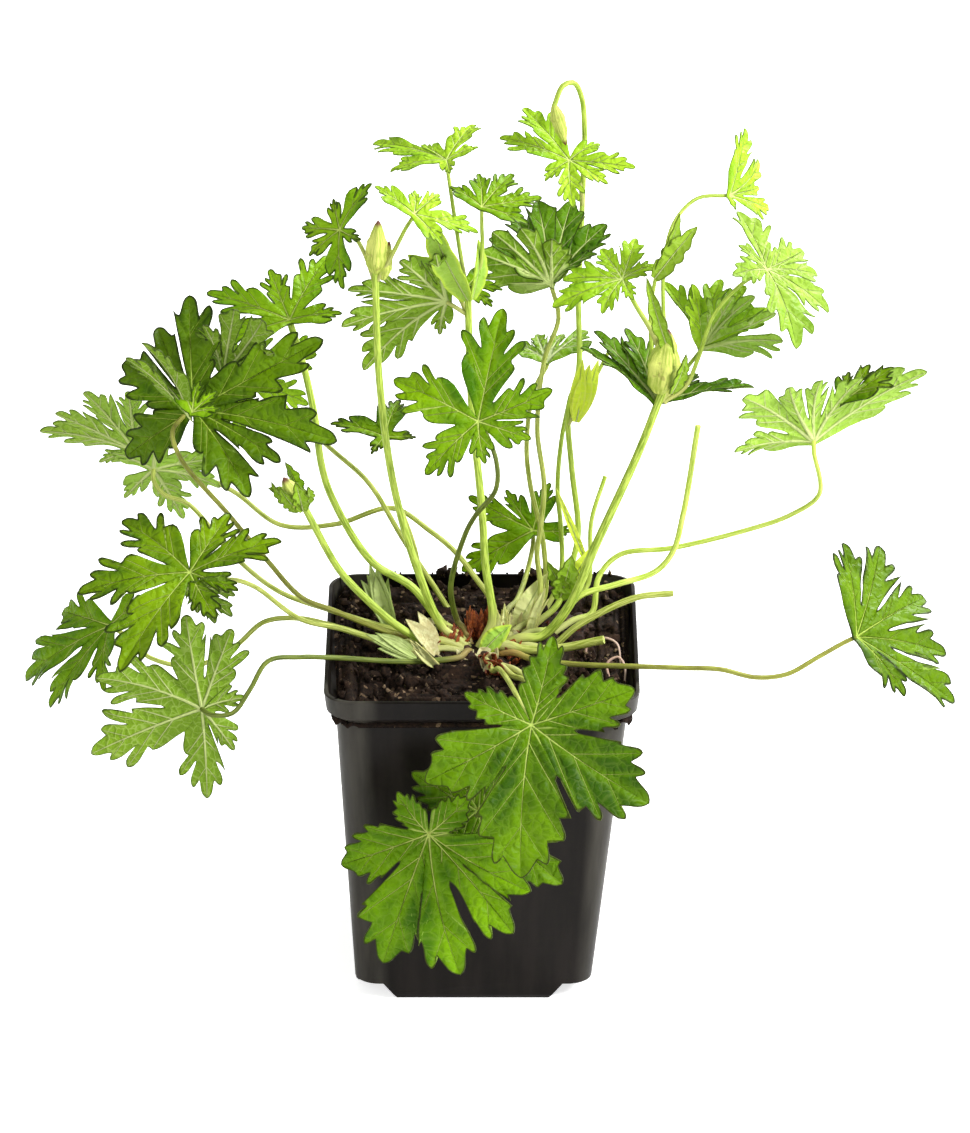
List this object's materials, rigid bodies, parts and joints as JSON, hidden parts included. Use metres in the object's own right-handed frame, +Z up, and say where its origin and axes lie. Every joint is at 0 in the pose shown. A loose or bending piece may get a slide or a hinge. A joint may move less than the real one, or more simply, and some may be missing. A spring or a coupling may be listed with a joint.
{
  "type": "hardy geranium",
  "caption": "Young hardy geranium with lobed, toothed leaves and budding stalks, growing in a square black nursery pot.",
  "frame": {"origin": "under the middle of the pot's rim, on the surface that the pot stands on", "axes": "+Z up along the pot's height, -Y out of the pot's front, +X to the right seen from the front"},
  "size_m": [0.2704, 0.1432, 0.2554],
  "materials": {
    "pot": "satin",
    "soil": "matte",
    "crown": "matte",
    "leaf": "satin",
    "pale_leaf": "matte",
    "stalk": "satin",
    "sheath": "matte",
    "root": "matte"
  },
  "bodies": {
    "root": {"pot": "pot", "soil": "soil", "crown": "crown", "leaf_front_upper": "leaf", "leaf_front_lower": "leaf", "leaf_front_under": "leaf", "leaf_low_left": "pale_leaf", "leaf_mid_left": "leaf", "leaf_far_left": "leaf", "leaf_upper_left": "leaf", "leaf_left_back": "leaf", "leaf_pale_left": "pale_leaf", "leaf_pale_low_left": "pale_leaf", "leaf_centre": "leaf", "leaf_under_mid": "leaf", "leaf_small_mid": "leaf", "leaf_small_left": "leaf", "leaf_back_centre": "leaf", "leaf_far_right": "pale_leaf", "leaf_low_right": "leaf", "stalk_a": "stalk", "stalk_b": "stalk", "stalk_c": "stalk", "stalk_d": "stalk", "stalk_e": "stalk", "stalk_f": "stalk", "stump_tall": "stalk", "stump_right": "stalk", "stump_front": "stalk", "stump_back": "stalk", "young_leaf_left": "sheath", "young_leaf_back_left": "sheath", "sheath_front": "sheath", "sheath_middle": "sheath", "sheath_right": "sheath", "rootlet_middle": "root", "rootlet_front": "root"}
  },
  "joints": []
}
